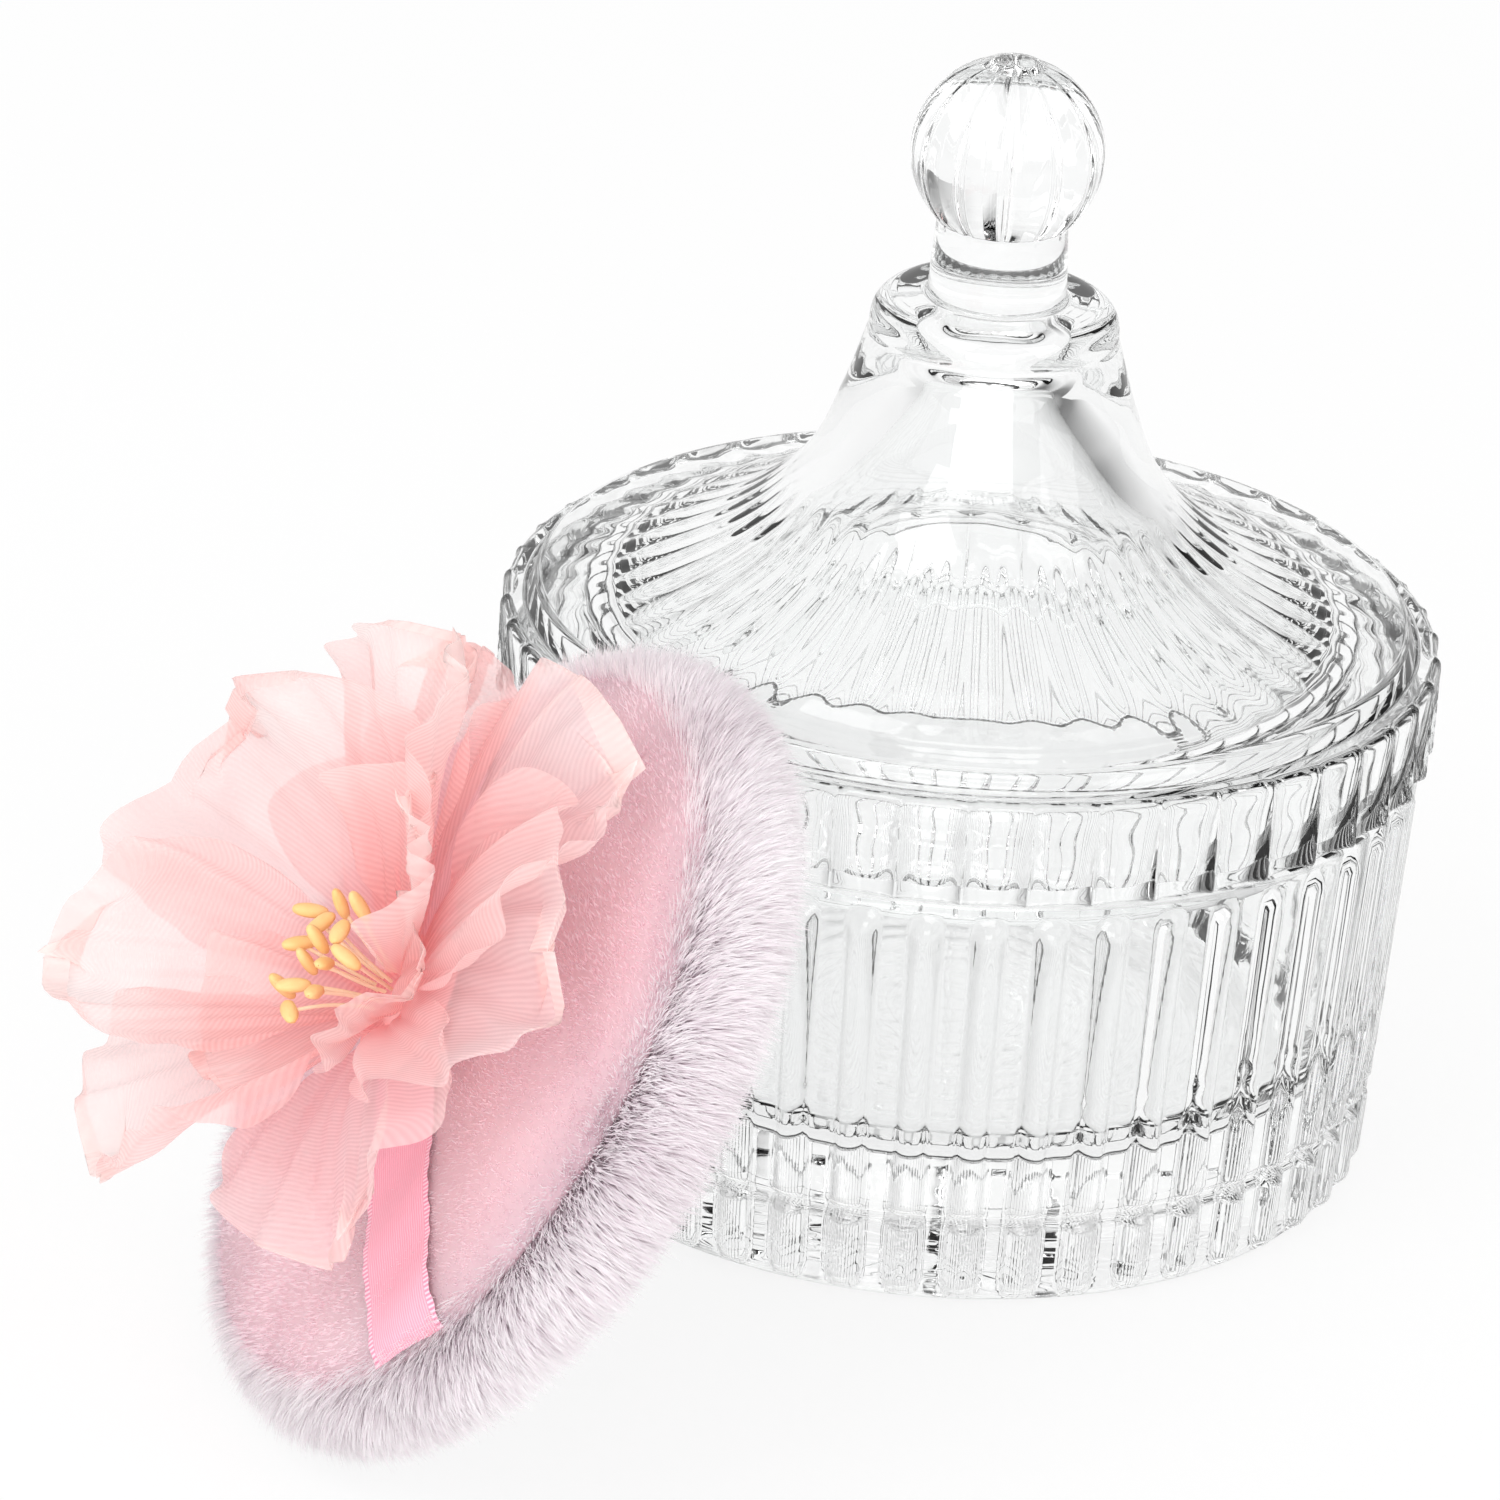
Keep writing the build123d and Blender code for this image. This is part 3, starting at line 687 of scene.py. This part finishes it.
def noise_of(node, link, source, scale, detail=2.0):
    """A noise value at each place of a vector."""
    noise = node.new("ShaderNodeTexNoise")
    noise.inputs["Scale"].default_value = scale
    noise.inputs["Detail"].default_value = detail
    link.new(source, noise.inputs["Vector"])
    return noise.outputs["Fac"]


def mixed_colour(node, link, share, first, second, blend="MIX"):
    """Two colours mixed: the first at share 0, and the second or the blend of both at share 1."""
    mix = node.new("ShaderNodeMix")
    mix.data_type = "RGBA"
    mix.blend_type = blend
    for socket, value in ((0, share), (6, first), (7, second)):
        put(link, mix.inputs[socket], value)
    return mix.outputs[2]


def mixed_shader(node, link, share, first, second):
    """Two shaders mixed: the first at share 0, the second at share 1."""
    mix = node.new("ShaderNodeMixShader")
    for socket, value in enumerate((share, first, second)):
        put(link, mix.inputs[socket], value)
    return mix.outputs[0]


def math_of(node, link, operation, first, second=0.0, clamp=False):
    """The result of one Math node on one value or two."""
    made = node.new("ShaderNodeMath")
    made.operation = operation
    made.use_clamp = clamp
    put(link, made.inputs[0], first)
    put(link, made.inputs[1], second)
    return made.outputs[0]


def bump_of(node, link, height, strength, distance):
    """A surface roughened by a height, as the normal that a shader takes."""
    bump = node.new("ShaderNodeBump")
    bump.inputs["Strength"].default_value = strength
    bump.inputs["Distance"].default_value = distance
    link.new(height, bump.inputs["Height"])
    return bump.outputs["Normal"]


def uv_parts(node, link, name="cloth"):
    """The two parts of a UV layer, the position in the frame, and the layer itself."""
    layer = node.new("ShaderNodeUVMap")
    layer.uv_map = name
    split = node.new("ShaderNodeSeparateXYZ")
    link.new(layer.outputs[0], split.inputs[0])
    place = node.new("ShaderNodeTexCoord")
    return split.outputs["X"], split.outputs["Y"], place.outputs["Object"], layer.outputs[0]


def bands_of(node, link, vector, period, direction, distortion=0.0):
    """Fine parallel lines, a period apart in the vector's own unit."""
    wave = node.new("ShaderNodeTexWave")
    wave.bands_direction = direction
    wave.inputs["Scale"].default_value = 2 * math.pi / (20 * period)
    wave.inputs["Distortion"].default_value = distortion
    wave.inputs["Detail"].default_value = 0
    link.new(vector, wave.inputs["Vector"])
    return wave.outputs["Fac"]


def let_light_through(node, link, shader, colour, share):
    """The shader of a thin cloth or hair, with a Translucent one of the same colour mixed in."""
    back = node.new("ShaderNodeBsdfTranslucent")
    link.new(colour, back.inputs["Color"])
    return mixed_shader(node, link, share, shader.outputs[0], back.outputs[0])


def glass_material():
    """Clear pressed glass, its surface a little wavy."""
    made, node, link, shader = material("clear_glass")
    shader.inputs["Base Color"].default_value = (0.97, 0.976, 0.975, 1)
    shader.inputs["Transmission Weight"].default_value = 1
    shader.inputs["IOR"].default_value = 1.5
    shader.inputs["Roughness"].default_value = 0.0
    place = node.new("ShaderNodeTexCoord").outputs["Object"]
    wavy = bump_of(node, link, noise_of(node, link, place, 70), 0.06, 0.002)
    link.new(wavy, shader.inputs["Normal"])
    return made


def hair_material(name, root, middle, tip, stray, sheen):
    """Pile or nap: darker at the root, lighter at the tip, each hair a little different."""
    made, node, link, shader = material(name)
    pick, rise, place, _ = uv_parts(node, link, "grow")
    length_colour = ramp_of(node, link, rise, [(0, root), (0.45, middle), (1, tip)])
    stray_share = ramp_of(node, link, pick, [(0.55, (0, 0, 0, 1)), (1, (0.5, 0.5, 0.5, 1))])
    colour = mixed_colour(node, link, stray_share, length_colour, stray)
    patch = ramp_of(
        node, link, noise_of(node, link, place, 55),
        [(0.35, (0.94, 0.92, 0.93, 1)), (0.65, (1, 1, 1, 1))],
    )
    colour = mixed_colour(node, link, 1.0, colour, patch, "MULTIPLY")
    link.new(colour, shader.inputs["Base Color"])
    shader.inputs["Roughness"].default_value = 0.62
    shader.inputs["Specular IOR Level"].default_value = 0.25
    shader.inputs["Sheen Weight"].default_value = sheen
    shown = let_light_through(node, link, shader, colour, 0.5)
    link.new(shown, node["Material Output"].inputs["Surface"])
    return made


def gauze_material():
    """Organza: fine threads half a millimetre apart, deeper at the heart, pale at the cut edge."""
    made, node, link, shader = material("blush_gauze")
    vector = uv_parts(node, link)[3]
    _, run, place, _ = uv_parts(node, link, "grow")
    colour = ramp_of(
        node, link, run,
        [(0.0, srgb(253, 188, 190)), (0.3, srgb(254, 212, 212)), (0.65, srgb(255, 229, 227)),
         (1.0, srgb(255, 243, 240))],
    )
    cloud = ramp_of(
        node, link, noise_of(node, link, place, 70),
        [(0.35, srgb(255, 232, 232)), (0.7, srgb(255, 255, 255))],
    )
    colour = mixed_colour(node, link, 1.0, colour, cloud, "MULTIPLY")
    threads = bands_of(node, link, vector, WEAVE, "X", 0.4)
    weft = bands_of(node, link, vector, WEAVE * 0.8, "Y", 0.3)
    pale = mixed_colour(node, link, threads, colour, srgb(255, 248, 245))
    colour = mixed_colour(node, link, 0.2, colour, pale)
    link.new(colour, shader.inputs["Base Color"])
    both = mixed_colour(node, link, 0.3, threads, weft)
    link.new(bump_of(node, link, both, 0.14, 0.0001), shader.inputs["Normal"])
    shader.inputs["Roughness"].default_value = 0.5
    shader.inputs["Specular IOR Level"].default_value = 0.3
    shader.inputs["Sheen Weight"].default_value = 0.2
    cloth = let_light_through(node, link, shader, colour, 0.5)
    edge_cover = ramp_of(node, link, run, [(0.96, (0, 0, 0, 1)), (1.0, (0.22, 0.22, 0.22, 1))])
    cover = node.new("ShaderNodeMapRange")
    cover.inputs["To Min"].default_value = 0.59
    cover.inputs["To Max"].default_value = 0.7
    link.new(threads, cover.inputs["Value"])
    cover = math_of(node, link, "ADD", cover.outputs[0], edge_cover, clamp=True)
    clear = node.new("ShaderNodeBsdfTransparent").outputs[0]
    shown = mixed_shader(node, link, cover, clear, cloth)
    link.new(shown, node["Material Output"].inputs["Surface"])
    return made


def satin_material():
    """Satin ribbon: long warp threads with a soft gloss, and a ribbed woven edge."""
    made, node, link, shader = material("pink_satin")
    wide, _, _, vector = uv_parts(node, link)
    warp = bands_of(node, link, vector, 0.34, "X", 0.8)
    weft = bands_of(node, link, vector, 0.45, "Y", 0.2)
    far = math_of(node, link, "ABSOLUTE", wide)
    rim = math_of(node, link, "GREATER_THAN", far, STRAP_WIDTH / 2 - RIBBED_EDGE)
    satin = mixed_colour(node, link, warp, srgb(238, 156, 178), srgb(250, 192, 208))
    ribbed = mixed_colour(node, link, weft, srgb(228, 138, 168), srgb(252, 216, 228))
    colour = mixed_colour(node, link, rim, satin, ribbed)
    link.new(colour, shader.inputs["Base Color"])
    height = mixed_colour(node, link, rim, warp, weft)
    link.new(bump_of(node, link, height, 0.4, 0.0001), shader.inputs["Normal"])
    shader.inputs["Roughness"].default_value = 0.34
    shader.inputs["Anisotropic"].default_value = 0.5
    return made


def matte_material(name, first, second, scale, rough, depth):
    """A matte fabric, thread or paste: two close colours mottled by noise, with a fine grain."""
    made, node, link, shader = material(name)
    place = node.new("ShaderNodeTexCoord").outputs["Object"]
    fac = noise_of(node, link, place, scale)
    link.new(mixed_colour(node, link, fac, first, second), shader.inputs["Base Color"])
    grain = noise_of(node, link, place, scale * 9, 4)
    link.new(bump_of(node, link, grain, 0.5, depth), shader.inputs["Normal"])
    shader.inputs["Roughness"].default_value = rough
    return made


glass = glass_material()
plush = hair_material(
    "white_plush", srgb(253, 246, 250), srgb(255, 251, 253), srgb(255, 255, 255), srgb(253, 240, 248), 0.3
)
velour = hair_material(
    "pink_velour", srgb(255, 231, 238), srgb(255, 240, 245), srgb(255, 248, 251), srgb(255, 234, 241), 0.4
)
for piece in (make_jar(), make_lid()):
    dress(piece, glass)
for piece in make_plush():
    dress(piece, plush)
for piece in make_velour():
    dress(piece, velour)
strap = make_strap()
dress(strap, satin_material())
felt_pad, petals = make_flower()
dress(felt_pad, matte_material("pink_felt", srgb(246, 168, 172), srgb(252, 190, 190), 300, 0.9, 0.0002))
gauze = gauze_material()
for petal in petals:
    dress(petal, gauze)
threads, grains = make_stamens()
dress(threads, matte_material("stamen_thread", srgb(250, 226, 190), srgb(255, 240, 214), 500, 0.7, 0.00005))
dress(grains, matte_material("stamen_tip", srgb(243, 190, 112), srgb(253, 226, 166), 420, 0.55, 0.00008))
foam = nodes["puff_foam_core"]
dress(foam, matte_material("foam", srgb(244, 238, 232), srgb(252, 248, 244), 260, 0.9, 0.0004))


# ------------------------------------------------------------------ stage, light and camera
FRAME_WIDTH = 0.161
AIM_RIGHT = 0.0224
AIM_UP = 0.0029
CAMERA_RISE, CAMERA_ROLL, CAMERA_AWAY = math.radians(23.9), math.radians(3.94), 1.0
GLOW_SHARE = 0.85
# grey of the room from the left (0) to the right (1)
ROOM_GREYS = (
    (0.0, 0.7), (0.18, 0.95), (0.3, 1.0), (0.62, 1.0),
    (0.76, 0.62), (0.86, 0.24), (0.94, 0.18), (1.0, 0.5),
)


def make_camera():
    """Camera at the product view: 24 degrees above the table, rolled so the jar leans right."""
    rise, roll, away = CAMERA_RISE, CAMERA_ROLL, CAMERA_AWAY
    forward = Vector((0, math.cos(rise), -math.sin(rise)))
    right, up = Vector((1, 0, 0)), Vector((0, math.sin(rise), math.cos(rise)))
    tilted_right = right * math.cos(roll) + up * math.sin(roll)
    tilted_up = up * math.cos(roll) - right * math.sin(roll)
    data = bpy.data.cameras.new("camera")
    camera = bpy.data.objects.new("camera", data)
    scene.collection.objects.link(camera)
    aim = Vector((0, 0, 0.040)) - tilted_right * AIM_RIGHT + tilted_up * AIM_UP
    place = Matrix((tilted_right, tilted_up, -forward)).transposed().to_4x4()
    place.translation = aim - forward * away
    camera.matrix_world = place
    data.sensor_width = 36
    data.lens = 36 * away / FRAME_WIDTH
    data.clip_start, data.clip_end = 0.05, 20
    scene.camera = camera


def make_floor():
    """A white table that glows where the camera or the glass sees it, and still takes a shadow."""
    bpy.ops.mesh.primitive_plane_add(size=6, location=(0, 0, -0.0002))
    floor = bpy.context.object
    floor.name = "floor"
    made, node, link, shader = material("floor")
    shader.inputs["Base Color"].default_value = (0.93, 0.93, 0.93, 1)
    shader.inputs["Roughness"].default_value = 0.6
    glow = node.new("ShaderNodeEmission")
    glow.inputs["Color"].default_value = (1, 1, 1, 1)
    seen = node.new("ShaderNodeLightPath").outputs
    either = math_of(node, link, "MAXIMUM", seen["Is Camera Ray"], seen["Is Transmission Ray"])
    share = math_of(node, link, "MULTIPLY", either, GLOW_SHARE)
    shown = mixed_shader(node, link, share, shader.outputs[0], glow.outputs[0])
    link.new(shown, node["Material Output"].inputs["Surface"])
    floor.data.materials.append(made)


def area_light(name, place, aim, size, power):
    """A white oblong lamp at a place, turned to an aim. Its power is in watts."""
    data = bpy.data.lights.new(name, "AREA")
    data.shape = "RECTANGLE"
    data.size, data.size_y = size
    data.energy = power
    lamp = bpy.data.objects.new(name, data)
    scene.collection.objects.link(lamp)
    lamp.location = place
    lamp.rotation_euler = (Vector(aim) - Vector(place)).to_track_quat("-Z", "Y").to_euler()


def make_world():
    """A white room, darker to the right in what the glass reflects and bends."""
    world = bpy.data.worlds.new("studio")
    scene.world = world
    world.use_nodes = True
    tree = world.node_tree
    node, link = tree.nodes, tree.links
    background = node["Background"]
    coordinates = node.new("ShaderNodeTexCoord")
    split = node.new("ShaderNodeSeparateXYZ")
    side = node.new("ShaderNodeMapRange")
    side.inputs["From Min"].default_value = -1
    link.new(coordinates.outputs["Generated"], split.inputs[0])
    link.new(split.outputs["X"], side.inputs["Value"])
    stops = [(place, (level, level, level, 1)) for place, level in ROOM_GREYS]
    greys = ramp_of(node, link, side.outputs[0], stops)
    link.new(greys, background.inputs["Color"])
    seen = node.new("ShaderNodeLightPath")
    shown = background.outputs[0]
    for ray, level in (("Is Diffuse Ray", 0.8), ("Is Camera Ray", 1.0)):
        even = node.new("ShaderNodeBackground")
        even.inputs["Color"].default_value = (level, level, level, 1)
        shown = mixed_shader(node, link, seen.outputs[ray], shown, even.outputs[0])
    link.new(shown, node["World Output"].inputs["Surface"])


make_floor()
make_world()
area_light("key", (-0.5, -0.6, 0.9), (0, 0, 0.05), (0.6, 0.6), 3.4)
area_light("fill", (0.7, -0.5, 0.6), (0, 0, 0.05), (0.5, 0.8), 2)
area_light("front", (-0.05, -1.1, 0.3), (-0.03, -0.06, 0.03), (0.9, 0.5), 4.4)
scene.view_settings.view_transform = "Standard"
make_camera()
